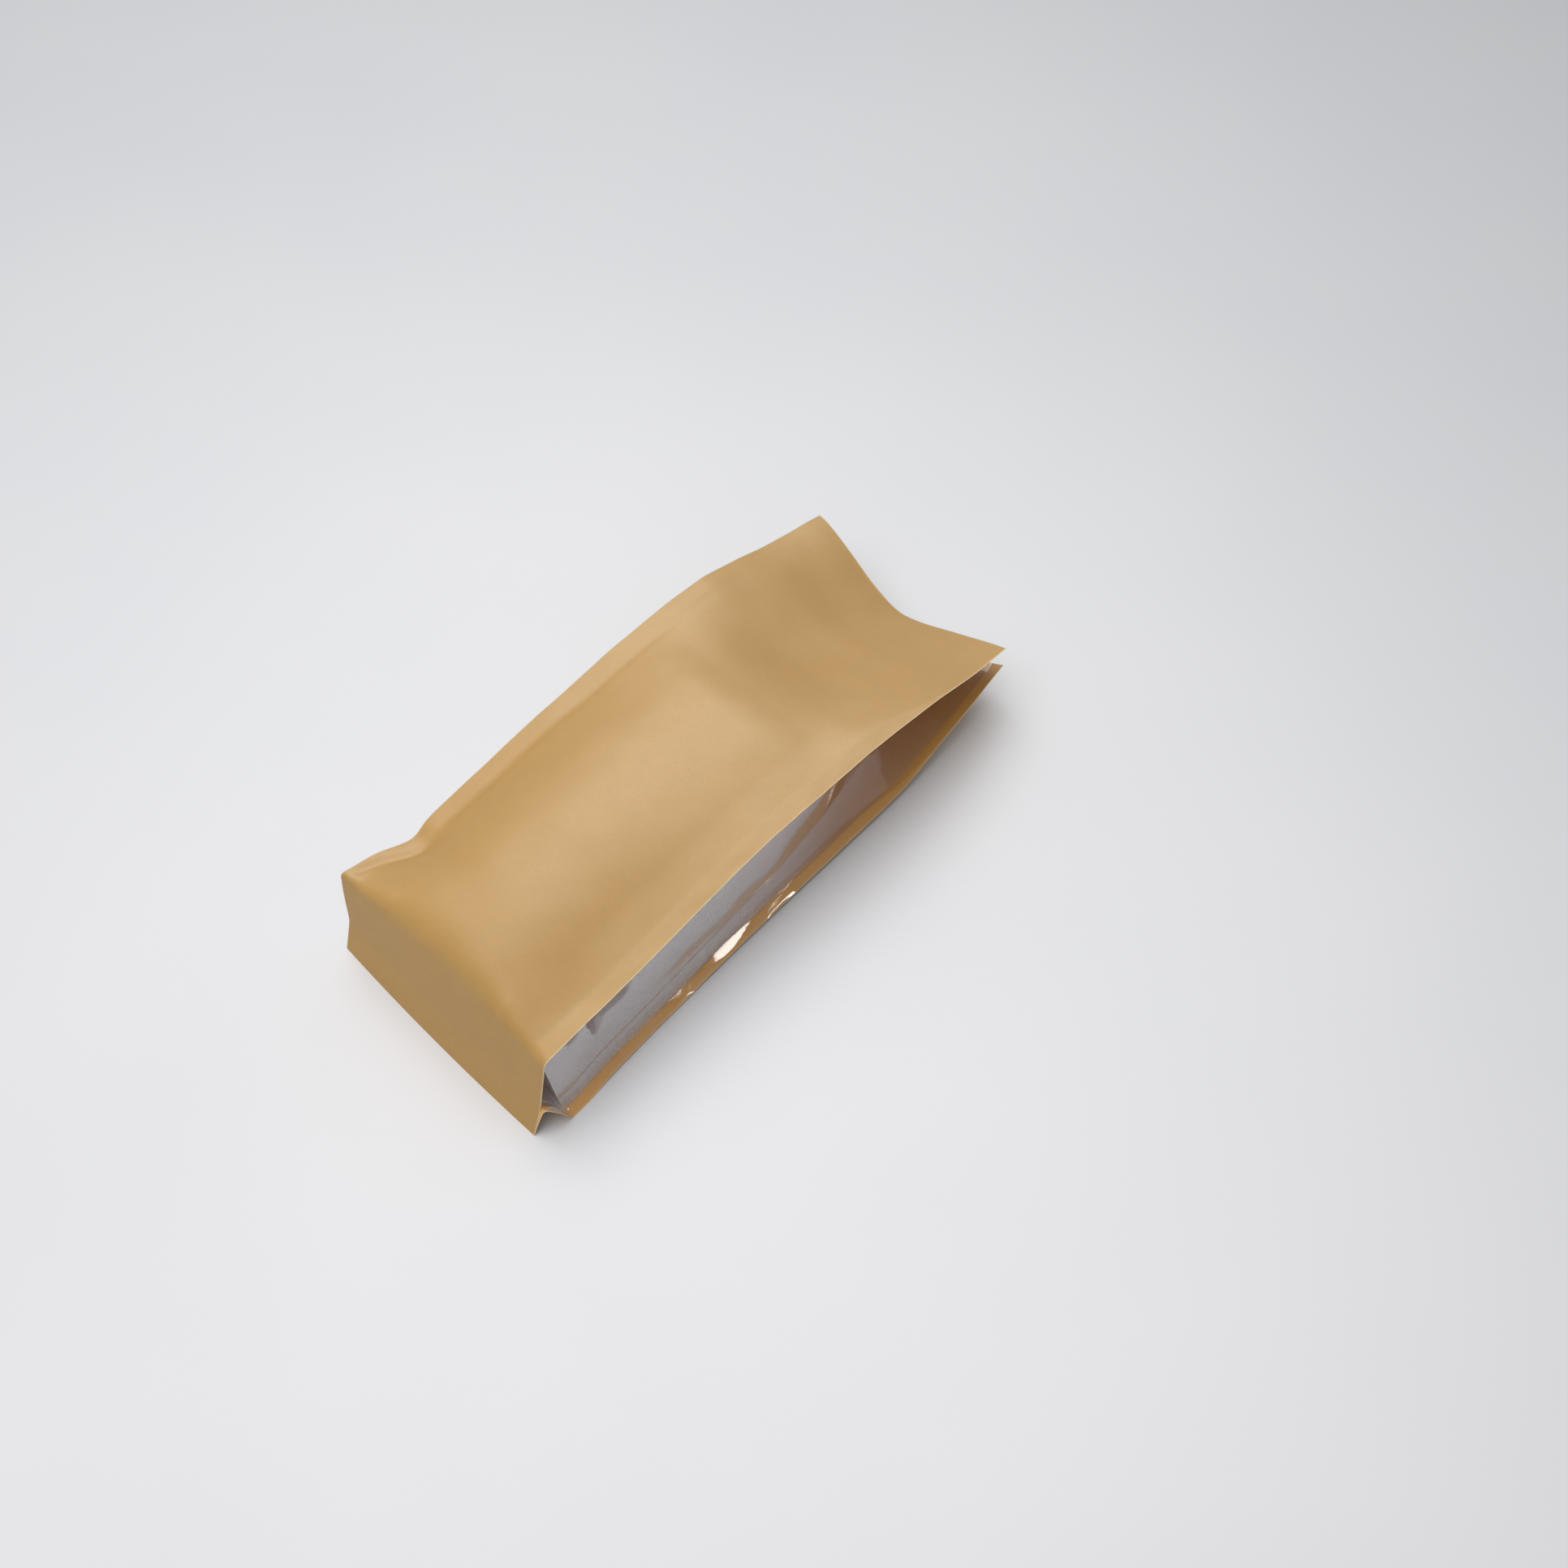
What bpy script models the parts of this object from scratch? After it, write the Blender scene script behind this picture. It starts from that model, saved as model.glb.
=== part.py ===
"""A side-gusset kraft coffee bag that lies on its back panel with its mouth open.

The bag is four sheets. Two kraft panels are its front and back, and two strips of
clear film are its sides. Each film gusset is sealed inside the margins of both
panels and folds in towards the middle of the bag between them. At the bottom the
four sheets are sealed flat into one fin, which leans down to the floor.

Axes: X across the bag, Y along it with the mouth at +Y, Z up. While it is shaped,
y = 0 is the front bottom crease and z = 0 the floor. Sizes are in metres.
"""

import math

import bpy
import numpy as np

MM = 0.001

# Sheets
KRAFT = 0.5 * MM            # thickness of a panel
FILM = 0.35 * MM            # thickness of a gusset
GAP = 0.3 * MM              # clearance between sheets that are sealed together
HALF_WIDTH = 70.5 * MM      # half of a panel, edge to edge
FRONT_SEAL = 8.5 * MM       # heat-sealed margin down the front panel's long edges
BACK_SEAL = 6 * MM          # and down the back panel's
GUSSET_LEG = 33 * MM        # film from a panel's seal to the gusset's middle fold

# Bottom fin: its cut edge is at y FIN_Y, between x FIN_X, on the left and the right
FIN_X = (-72.3 * MM, 69.4 * MM)
FIN_Y = (-10.8 * MM, -14.2 * MM)
FIN_BOW = 1.5 * MM          # how far the cut edge bows out in the middle
FIN_LEAN = 6.5 * MM         # how far the seal line stands inside the cut edge
FIN_HEIGHT = 18.5 * MM      # how high the seal line is above the floor

# Front bottom crease: sharp at the corners, a wide soft bend in the middle
CREASE_BOW = 2.5 * MM
CORNER_BEND = 3 * MM
MIDDLE_BEND = 13 * MM
BACK_CORNER_Y = 3 * MM      # where the back panel leaves the floor
BACK_BEND = 3 * MM
BACK_FLAP_TUCK = 2 * MM     # how far the back flap is pushed into the bag
FOLD_BEND = 3 * MM          # length of the bend over the seal line
BACK_FOLD_LIFT = 0.75 * MM  # how much higher than the front the back bends over it

# The bag's long lines, each as (along, across, height) in millimetres
FRONT_LEFT = ((0, -72.5, 56.5), (18, -71, 53.9), (38, -67.6, 49.6), (50, -69.3, 52.2),
              (66, -70, 54.3), (100, -70, 59.8), (144, -69.6, 66), (190, -69.5, 71.2),
              (213, -69.7, 72.2), (237, -70.1, 70.8), (262, -70.4, 64.5), (299, -70, 54.7),
              (330, -68.5, 50))
FRONT_RIGHT = ((0, 69.5, 52.3), (24, 69.3, 55), (65, 68.8, 58.7), (108, 68.1, 64.2),
               (150, 67.7, 67.8), (215, 68.1, 67.6), (239, 68.3, 65.5), (271, 68, 59.9),
               (306, 66.7, 50.6), (328, 65.5, 47.2))
FRONT_CROWN = ((12, 0, 69.8), (20, 0, 71.5), (60, 0, 76.5), (130, 0, 80), (180, 0, 79),
               (204, 0, 73), (240, 0, 56), (262, 0, 47.5), (300, 0, 34), (324, 0, 25))
BACK_LEFT = ((0, -67, 0), (50, -69, 0.5), (118, -69, 4), (200, -69, 5), (245, -69.5, 9),
             (270, -70, 18), (303, -69, 29), (330, -68, 34))
BACK_RIGHT = ((0, 76, 0), (11, 75.6, 0), (34, 73.6, 1), (80, 71.2, 1.2), (127, 69.8, 2.8),
              (181, 69, 3.5), (228, 68.5, 4.5), (245, 68.2, 5.5), (261, 67.8, 9.8),
              (294, 66.6, 20.5), (330, 64.5, 30))
BACK_KEEL = ((0, 0, 0), (235, 0, 0), (280, 0, 1.5), (328, 0, 5))
MOUTH_Y = {"front": (330 * MM, 324 * MM, 328 * MM),     # left edge, middle, right edge
           "back": (330 * MM, 328 * MM, 330 * MM)}

# Cross-section of a panel: a soft dome as far as DOME_END, a shallow V from TROUGH_START
DOME_END = 215 * MM
TROUGH_START = 290 * MM
DOME_POWERS = (2.2, 1.35)   # inner and outer power of the dome's height across the panel
KEEL_FLAT = 0.6             # share of the back panel's half width that lies flat
KEEL_POWERS = (2.0, 1.5)    # power of its rise to the edges, along the bag and at the mouth
TROUGH_ROUND = 0.12         # how far the trough's right slope is rounded off at its middle
MOUTH_POWER = 1.4           # power of the mouth's bend from its middle to its corners

# Gussets: the open bag pulls them flat, and towards the mouth they fold in between the
# panels. Stations are (along, depth, rise): how far in the fold is from a straight line
# between the seals, both in millimetres, and how far up, as a share of that line.
GUSSET_FOLD = ((0, 1, 0.14), (55, 1, 0.14), (150, 1, 0.2), (170, 2, 0.25), (202, 6, 0.35),
               (235, 12, 0.42), (250, 20, 0.46), (275, 27, 0.5), (330, 31, 0.5))
FOLD_WIDTH = 1.0 * MM       # across the fold's rounded end
FOLD_REACH = 0.3 * MM       # how far the rounded end stands in from the legs
CORNER_POWER = 2            # how suddenly the fold opens out between the fin and the crease

# Mesh density
PANEL_COLUMNS = 14          # cells between the two margins
FIN_ROWS = 2
BEND_ROWS = 4
FLAP_ROWS = 3
BODY_ROWS = 22
LEG_CELLS = 4
SEAL_ROW = FIN_ROWS + BEND_ROWS
CREASE_ROW = SEAL_ROW + FLAP_ROWS + BEND_ROWS // 2

KRAFT_COLOUR = (0.60, 0.41, 0.20)
KRAFT_ROUGHNESS = 0.62
FILM_COLOUR = (0.42, 0.40, 0.39)
FILM_ROUGHNESS = 0.08
FILM_CLEAR = 0.6            # share of the light that the film lets through


def clear_scene():
    for item in list(bpy.data.objects):
        bpy.data.objects.remove(item, do_unlink=True)


def curve(along, values):
    """A smooth function of y through values at the distances along, with no overshoot."""
    step = np.diff(along)
    slope = np.diff(values) / step
    tangent = np.zeros(len(values))
    for i in range(1, len(values) - 1):
        if slope[i - 1] * slope[i] > 0:
            tangent[i] = 2 / (1 / slope[i - 1] + 1 / slope[i])
    tangent[0], tangent[-1] = slope[0], slope[-1]

    def value(y):
        y = np.clip(y, along[0], along[-1])
        i = np.clip(np.searchsorted(along, y, side="right") - 1, 0, len(step) - 1)
        t = (y - along[i]) / step[i]
        start = (1 + 2 * t) * (1 - t) ** 2 * values[i]
        end = t * t * (3 - 2 * t) * values[i + 1]
        ease = t * (1 - t) * ((1 - t) * tangent[i] - t * tangent[i + 1]) * step[i]
        return start + end + ease
    return value


def long_line(stations):
    """The curves across(y) and height(y) of a line given by stations in millimetres."""
    along, across, height = np.array(stations, dtype=float).T * MM
    return curve(along, across), curve(along, height)


def smooth(value, low, high):
    t = np.clip((value - low) / (high - low), 0, 1)
    return t * t * (3 - 2 * t)


def mix(a, b, t):
    return a + (b - a) * t


FILM_OFFSET = (KRAFT + FILM) / 2 + GAP      # from a panel's middle to its film's middle


class Panel:
    """One kraft panel as rows of points for a column u, from -1 at the left edge to 1."""

    def __init__(self, left, middle, right, mouth, seal, front):
        self.margin = 1 - seal / HALF_WIDTH      # column of the seal's inner line
        self.left_x, self.left_z = long_line(left)
        self.right_x, self.right_z = long_line(right)
        self.middle_z = long_line(middle)[1]
        self.mouth = mouth
        self.front = front

    def across(self, u, y):
        return mix(self.left_x(y), self.right_x(y), (u + 1) / 2)

    def height(self, u, y):
        """Height of the panel's middle surface at column u and distance y."""
        edge = mix(self.left_z(y), self.right_z(y), (u + 1) / 2)
        middle = self.middle_z(y)
        trough = smooth(y, DOME_END, TROUGH_START)
        t = min(abs(u) / mix(self.margin, 1, trough), 1)
        if self.front:
            dome = (1 - t ** DOME_POWERS[0]) ** DOME_POWERS[1]
            rise = smooth(t, 0, 1) if u < 0 else t * t * (1 + TROUGH_ROUND) / (t + TROUGH_ROUND)
            share = mix(1 - dome, rise, trough)
        else:
            flat = KEEL_FLAT * (1 - trough)
            share = np.clip((t - flat) / (1 - flat), 0, 1) ** mix(*KEEL_POWERS, trough)
            middle = middle + KRAFT / 2
            edge = edge + KRAFT / 2
        return mix(middle, edge, share)

    def mouth_y(self, u):
        left, middle, right = self.mouth
        side = right if u > 0 else left
        return mix(middle, side, abs(u) ** MOUTH_POWER)

    def body(self, u, start):
        """Rows from y = start to the mouth."""
        ys = np.linspace(start, self.mouth_y(u), BODY_ROWS + 1)
        return [(y, self.height(u, y)) for y in ys]

    def slope(self, u, y):
        step = 0.5 * MM
        return (self.height(u, y + step) - self.height(u, y)) / step


def bend(start, corner, end, cells=BEND_ROWS):
    """Points of a soft bend from start to end, pulled towards corner, ends included."""
    ts = np.linspace(0, 1, cells + 1)
    return [tuple((1 - t) ** 2 * s + 2 * t * (1 - t) * c + t * t * e
                  for s, c, e in zip(start, corner, end)) for t in ts]


def between(start, end, cells):
    """Points from start to end, without either of them."""
    return [tuple(mix(s, e, i / cells) for s, e in zip(start, end)) for i in range(1, cells)]


def towards(start, end, distance):
    run = math.dist(start, end)
    return tuple(mix(s, e, distance / run) for s, e in zip(start, end))


def fin_edge(u):
    """The fin's cut edge and seal line at column u, as (y, z) on the front sheet."""
    y = mix(FIN_Y[0], FIN_Y[1], (u + 1) / 2) - FIN_BOW * (1 - u * u)
    return (y, KRAFT / 4), (y + FIN_LEAN, FIN_HEIGHT)


# Distance between the front and the back sheet in the fin, measured level
FIN_STACK = (KRAFT + GAP) * math.hypot(FIN_LEAN, FIN_HEIGHT) / FIN_HEIGHT


def front_profile(panel, u):
    """Rows of (y, z) from the fin's cut edge up the flap and over the crease to the mouth."""
    cut, seal = fin_edge(u)
    dome = 1 - u * u
    reach = mix(CORNER_BEND, MIDDLE_BEND, dome)
    start = CREASE_BOW * dome + reach
    top = (start, panel.height(u, start))
    corner = (top[0] - reach, top[1] - reach * panel.slope(u, start))
    low = towards(corner, seal, reach)
    fold_start, fold_end = towards(seal, cut, FOLD_BEND), towards(seal, low, FOLD_BEND)
    rows = [cut] + between(cut, fold_start, FIN_ROWS)
    rows += bend(fold_start, seal, fold_end)
    rows += between(fold_end, low, FLAP_ROWS)
    rows += bend(low, corner, top)
    return rows + panel.body(u, start)[1:]


def back_profile(panel, u):
    """Rows of (y, z) that match the front's, down the tucked back flap and along the floor."""
    cut, seal = ((y + FIN_STACK, z) for y, z in fin_edge(u))
    seal = (seal[0], seal[1] + BACK_FOLD_LIFT)
    corner = (BACK_CORNER_Y, KRAFT / 2)
    start = BACK_CORNER_Y + BACK_BEND
    into = tuple(mix(s, c, 0.5) + BACK_FLAP_TUCK for s, c in zip(seal, corner))
    fold_start = towards(seal, cut, FOLD_BEND)
    fold_end = towards(seal, into, FOLD_BEND)
    low = towards(corner, into, BACK_BEND)
    rows = [cut] + between(cut, fold_start, FIN_ROWS)
    rows += bend(fold_start, seal, fold_end)
    rows += bend(fold_end, into, low, FLAP_ROWS)[1:-1]
    rows += bend(low, corner, (start, KRAFT / 2))
    return rows + panel.body(u, start)[1:]


def panel_columns(panel):
    """Columns u of a panel's grid: two cells in each margin, even cells between them."""
    inner = np.linspace(-panel.margin, panel.margin, PANEL_COLUMNS + 1)
    half_seal = (1 + panel.margin) / 2
    return np.concatenate(((-1, -half_seal), inner, (half_seal, 1)))


def panel_grid(panel, columns):
    """Grid of points, rows by columns, of a panel's middle surface."""
    grid = []
    for u in columns:
        rows = front_profile(panel, u) if panel.front else back_profile(panel, u)
        fin_x = mix(FIN_X[0], FIN_X[1], (u + 1) / 2)
        column = []
        for y, z in rows:
            turned = smooth(y, FIN_Y[1], BACK_CORNER_Y)
            column.append((mix(fin_x, panel.across(u, y), turned), y, z))
        grid.append(column)
    return np.array(grid).transpose(1, 0, 2)


def sheet_normals(grid):
    """Unit normals of a panel's grid, on its upper side where it lies flat."""
    along = np.gradient(grid, axis=0)
    across = np.gradient(grid, axis=1)
    normal = np.cross(across, along)
    return normal / np.linalg.norm(normal, axis=2, keepdims=True)


class Face:
    """The inner face of a panel, where a film gusset lies against it."""

    def __init__(self, panel):
        self.margin = panel.margin
        self.columns = panel_columns(panel)
        self.grid = panel_grid(panel, self.columns)
        self.inward = sheet_normals(self.grid) * (-1 if panel.front else 1)

    def read(self, table, row, u):
        return np.array([np.interp(u, self.columns, table[row, :, axis]) for axis in range(3)])

    def point(self, row, u):
        return self.read(self.grid, row, u)

    def film(self, row, u):
        """Where film that is sealed to the face has its middle surface."""
        return self.point(row, u) + self.read(self.inward, row, u) * FILM_OFFSET


gusset_stations = np.array(GUSSET_FOLD).T
gusset_depth = curve(gusset_stations[0] * MM, gusset_stations[1] * MM)
gusset_rise = curve(gusset_stations[0] * MM, gusset_stations[2])


def gusset_fold(row, height, y):
    """How far in a gusset's fold is, and how far up from the back seal as a share of height."""
    depth, rise = gusset_depth(y), gusset_rise(y)
    if row > CREASE_ROW:
        return depth, rise
    opened = (row - SEAL_ROW) / (CREASE_ROW - SEAL_ROW)
    folded = math.sqrt(max(GUSSET_LEG ** 2 - height ** 2 / 4, 0))
    return mix(folded, depth, opened ** CORNER_POWER), mix(0.5, rise, opened)


def gusset_leg(near, far, row, side, fold_u, rise):
    """Points from the inner line of near's seal to the fold, a share rise of the way to far."""
    points = []
    for i in range(LEG_CELLS + 1):
        share = i / LEG_CELLS
        u = side * mix(near.margin, fold_u, share)
        across = far.point(row, u) - near.point(row, u)
        room = np.linalg.norm(across)
        reach = max(rise - (FILM_OFFSET + FOLD_WIDTH / 2) / room, 0)
        points.append(near.film(row, u) + across * reach * share)
    return points


def gusset_grid(front, back, side):
    """Grid of a film gusset: front seal, fold, back seal.

    It starts where the fin's weld ends, just above the seal line.
    """
    rows = []
    for row in range(SEAL_ROW, front.grid.shape[0]):
        height = math.dist(front.film(row, side * front.margin), back.film(row, side * back.margin))
        depth, rise = gusset_fold(row, height, front.point(row, side)[1])
        fold_u = mix(back.margin, front.margin, rise) - depth / HALF_WIDTH
        leg_top = gusset_leg(front, back, row, side, fold_u, 1 - rise)
        leg_low = gusset_leg(back, front, row, side, fold_u, rise)
        tip = (leg_top[-1] + leg_low[-1]) / 2
        innermost = min(side * leg_top[-1][0], side * leg_low[-1][0])
        tip[0] = side * (innermost - FOLD_REACH)
        seal_top = [front.film(row, side * u) for u in (1, (1 + front.margin) / 2)]
        seal_low = [back.film(row, side * u) for u in ((1 + back.margin) / 2, 1)]
        rows.append(seal_top + leg_top + [tip] + leg_low[::-1] + seal_low)
    return np.array(rows)


def material(name, colour, roughness, clear=0.0):
    made = bpy.data.materials.new(name)
    made.use_nodes = True
    shader = made.node_tree.nodes["Principled BSDF"]
    shader.inputs["Base Color"].default_value = (*colour, 1)
    shader.inputs["Roughness"].default_value = roughness
    shader.inputs["Metallic"].default_value = 0
    shader.inputs["Transmission Weight"].default_value = clear
    return made


def sheet(name, grid, thickness, finish):
    """A grid of points as a closed sheet of even thickness, its middle on the grid."""
    rows, columns = grid.shape[:2]
    faces = []
    for i in range(rows - 1):
        for j in range(columns - 1):
            a = i * columns + j
            faces.append((a, a + 1, a + columns + 1, a + columns))
    mesh = bpy.data.meshes.new(name)
    mesh.from_pydata([tuple(p) for p in grid.reshape(-1, 3)], [], faces)
    mesh.materials.append(finish)
    mesh.shade_smooth()
    made = bpy.data.objects.new(name, mesh)
    bpy.context.collection.objects.link(made)
    solid = made.modifiers.new("thickness", "SOLIDIFY")
    solid.thickness = thickness
    solid.offset = 0
    solid.use_even_offset = True
    return made


def stand_at_origin(pieces):
    """Move every mesh so that the origin is under the middle of the bag, on the floor."""
    bpy.context.view_layer.update()
    graph = bpy.context.evaluated_depsgraph_get()
    corners = []
    for piece in pieces:
        shown = piece.evaluated_get(graph)
        corners += [tuple(vertex.co) for vertex in shown.to_mesh().vertices]
        shown.to_mesh_clear()
    points = np.array(corners)
    low, high = points.min(axis=0), points.max(axis=0)
    shift = np.array(((low[0] + high[0]) / 2, (low[1] + high[1]) / 2, low[2]))
    for piece in pieces:
        for vertex in piece.data.vertices:
            vertex.co = [c - s for c, s in zip(vertex.co, shift)]


def build_bag():
    front = Face(Panel(FRONT_LEFT, FRONT_CROWN, FRONT_RIGHT, MOUTH_Y["front"], FRONT_SEAL, front=True))
    back = Face(Panel(BACK_LEFT, BACK_KEEL, BACK_RIGHT, MOUTH_Y["back"], BACK_SEAL, front=False))
    pieces = [
        sheet("front_panel", front.grid, KRAFT, material("kraft_front", KRAFT_COLOUR, KRAFT_ROUGHNESS)),
        sheet("back_panel", back.grid, KRAFT, material("kraft_back", KRAFT_COLOUR, KRAFT_ROUGHNESS)),
    ]
    for name, side in (("gusset_left", -1), ("gusset_right", 1)):
        finish = material("film_" + name, FILM_COLOUR, FILM_ROUGHNESS, FILM_CLEAR)
        pieces.append(sheet(name, gusset_grid(front, back, side), FILM, finish))
    stand_at_origin(pieces)


clear_scene()
build_bag()
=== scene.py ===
"""The looks of a side-gusset kraft coffee bag that lies with its mouth open.

Four thin sheets stand for the four CAD solids: two panels of kraft laminate and two
gussets of clear film. They are worked out from the same lines as the solids, much
finer, with seal margins, soft dents, crumples and creases as relief in the mesh.
The bag is shaped with y = 0 at its front bottom crease and z = 0 on the floor, and
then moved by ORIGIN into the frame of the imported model. Sizes are in metres.
"""

import math

import bpy
import numpy as np
from mathutils import Matrix, Vector


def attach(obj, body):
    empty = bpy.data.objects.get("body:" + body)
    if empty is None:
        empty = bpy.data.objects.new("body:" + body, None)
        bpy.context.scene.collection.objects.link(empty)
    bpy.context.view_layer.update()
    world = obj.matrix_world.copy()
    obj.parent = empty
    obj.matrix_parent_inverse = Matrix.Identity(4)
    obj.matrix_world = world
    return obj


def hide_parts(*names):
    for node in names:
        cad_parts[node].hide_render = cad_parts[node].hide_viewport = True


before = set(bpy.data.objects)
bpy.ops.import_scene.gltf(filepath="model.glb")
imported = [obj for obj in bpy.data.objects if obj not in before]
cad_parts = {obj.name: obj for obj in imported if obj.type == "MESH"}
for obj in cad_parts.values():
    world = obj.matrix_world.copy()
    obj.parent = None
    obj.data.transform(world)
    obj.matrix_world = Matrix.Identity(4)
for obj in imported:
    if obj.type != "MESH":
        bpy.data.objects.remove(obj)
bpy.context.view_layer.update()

MM = 0.001
ORIGIN = np.array((1.66928, 157.67466, -0.00041)) * MM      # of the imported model's frame

# Camera: its lens and sensor are in millimetres
CAMERA_AZIMUTH = math.radians(43.15)
CAMERA_ELEVATION = math.radians(54.75)
CAMERA_DISTANCE = 0.9102
CAMERA_TARGET = Vector((0.015831, 0.051725, 0))
LENS = 39.59
SENSOR_WIDTH = 36

# Sheets
KRAFT = 0.3 * MM
FILM = 0.1 * MM
GAP = 0.06 * MM             # clearance between sheets that are sealed together
HALF_WIDTH = 70.5 * MM
FRONT_SEAL = 8.5 * MM
BACK_SEAL = 6 * MM
LIP = 0.35 * MM             # width of the pale fibres along a panel's cut edges
GUSSET_LEG = 33 * MM

# Bottom fin
FIN_X = (-72.3 * MM, 69.4 * MM)
FIN_Y = (-10.8 * MM, -14.2 * MM)
FIN_BOW = 1.5 * MM
FIN_LEAN = 6.5 * MM
FIN_HEIGHT = 18.5 * MM

# Front bottom crease and the back panel's folds
CREASE_BOW = 2.5 * MM
CORNER_BEND = 3 * MM
MIDDLE_BEND = 13 * MM
BACK_CORNER_Y = 3 * MM
BACK_BEND = 3 * MM
BACK_FLAP_TUCK = 2 * MM
FOLD_BEND = 3 * MM
BACK_FOLD_LIFT = 0.75 * MM

# The bag's long lines, each as (along, across, height) in millimetres
FRONT_LEFT = ((0, -72.5, 56.5), (18, -71, 53.9), (38, -67.6, 49.6), (50, -69.3, 52.2),
              (66, -70, 54.3), (100, -70, 59.8), (144, -69.6, 66), (190, -69.5, 71.2),
              (213, -69.7, 72.2), (237, -70.1, 70.8), (262, -70.4, 64.5), (299, -70, 54.7),
              (330, -68.5, 50))
FRONT_RIGHT = ((0, 69.5, 52.3), (24, 69.3, 55), (65, 68.8, 58.7), (108, 68.1, 64.2),
               (150, 67.7, 67.8), (215, 68.1, 67.6), (239, 68.3, 65.5), (271, 68, 59.9),
               (306, 66.7, 50.6), (328, 65.5, 47.2))
FRONT_CROWN = ((12, 0, 69.8), (20, 0, 71.5), (60, 0, 76.5), (130, 0, 80), (180, 0, 79),
               (204, 0, 73), (240, 0, 56), (262, 0, 47.5), (300, 0, 34), (324, 0, 25))
BACK_LEFT = ((0, -67, 0), (50, -69, 0.5), (118, -69, 4), (200, -69, 5), (245, -69.5, 9),
             (270, -70, 18), (303, -69, 29), (330, -68, 34))
BACK_RIGHT = ((0, 76, 0), (11, 75.6, 0), (34, 73.6, 1), (80, 71.2, 1.2), (127, 69.8, 2.8),
              (181, 69, 3.5), (228, 68.5, 4.5), (245, 68.2, 5.5), (261, 67.8, 9.8),
              (294, 66.6, 20.5), (330, 64.5, 30))
BACK_KEEL = ((0, 0, 0), (235, 0, 0), (280, 0, 1.5), (328, 0, 5))
MOUTH_Y = {"front": (330 * MM, 324 * MM, 328 * MM),
           "back": (330 * MM, 328 * MM, 330 * MM)}

# Cross-sections
DOME_END = 215 * MM
TROUGH_START = 290 * MM
DOME_POWERS = (2.2, 1.35)
KEEL_FLAT = 0.6
KEEL_POWERS = (2.0, 1.5)
TROUGH_ROUND = 0.12
MOUTH_POWER = 1.4

# Gussets: (along, depth, rise) of the fold, the first two in millimetres. depth is how far in
# it is from a straight line between the seals, and rise how far up, as a share of that line.
GUSSET_FOLD = ((0, 1, 0.14), (55, 1, 0.14), (150, 1, 0.2), (170, 2, 0.25), (202, 6, 0.35),
               (235, 12, 0.42), (250, 20, 0.46), (275, 27, 0.5), (330, 31, 0.5))
FOLD_WIDTH = 0.5 * MM
FOLD_REACH = 0.15 * MM
CORNER_POWER = 2
FLAP_OPENED = 0.6           # how far the fold has opened where the flap meets the crease's bend

# The film's haze and mirror, which fade towards the mouth between two places on the packed
# model's Y axis
HAZE_FADE = (-60 * MM, 60 * MM)
HAZE_LEFT = 0.06            # share of the haze that is left at the fade's end
HAZE_SPECKLES = (-0.2, 2.2)     # least and most of the haze in its fine speckles, as shares
MIRROR_FADE = (10 * MM, 115 * MM)
MIRROR_LEAST = (0.04, 0.01)     # share seen square on, at the fade's start and end
MIRROR_MOST = (0.95, 0.06)      # share seen at the flattest, the same way
MIRROR_POWER = 2.4

# Fineness of the meshes, in cells
MARGIN_CELLS = 7
MIDDLE_CELLS = 90
FIN_CELLS = 10
FOLD_CELLS = 8
FLAP_CELLS = 26
CREASE_CELLS = 20
BODY_CELLS = 240
UPPER_CELLS = 42
LOWER_CELLS = 22
SEAL_CELLS = 6
SEAL_ROW = FIN_CELLS + FOLD_CELLS
FLAP_ROW = SEAL_ROW + FLAP_CELLS
CREASE_ROW = FLAP_ROW + CREASE_CELLS // 2


# ---------------------------------------------------------------- lines and surfaces

def curve(along, values):
    """A smooth function of y through values at the distances along, with no overshoot."""
    step = np.diff(along)
    slope = np.diff(values) / step
    tangent = np.zeros(len(values))
    for i in range(1, len(values) - 1):
        if slope[i - 1] * slope[i] > 0:
            tangent[i] = 2 / (1 / slope[i - 1] + 1 / slope[i])
    tangent[0], tangent[-1] = slope[0], slope[-1]

    def value(y):
        y = np.clip(y, along[0], along[-1])
        i = np.clip(np.searchsorted(along, y, side="right") - 1, 0, len(step) - 1)
        t = (y - along[i]) / step[i]
        start = (1 + 2 * t) * (1 - t) ** 2 * values[i]
        end = t * t * (3 - 2 * t) * values[i + 1]
        ease = t * (1 - t) * ((1 - t) * tangent[i] - t * tangent[i + 1]) * step[i]
        return start + end + ease
    return value


def long_line(stations):
    """The curves across(y) and height(y) of a line given by stations in millimetres."""
    along, across, height = np.array(stations, dtype=float).T * MM
    return curve(along, across), curve(along, height)


def smooth(value, low, high):
    t = np.clip((value - low) / (high - low), 0, 1)
    return t * t * (3 - 2 * t)


def mix(a, b, t):
    return a + (b - a) * t


FILM_OFFSET = (KRAFT + FILM) / 2 + GAP      # from a panel's middle to its film's middle


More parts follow.
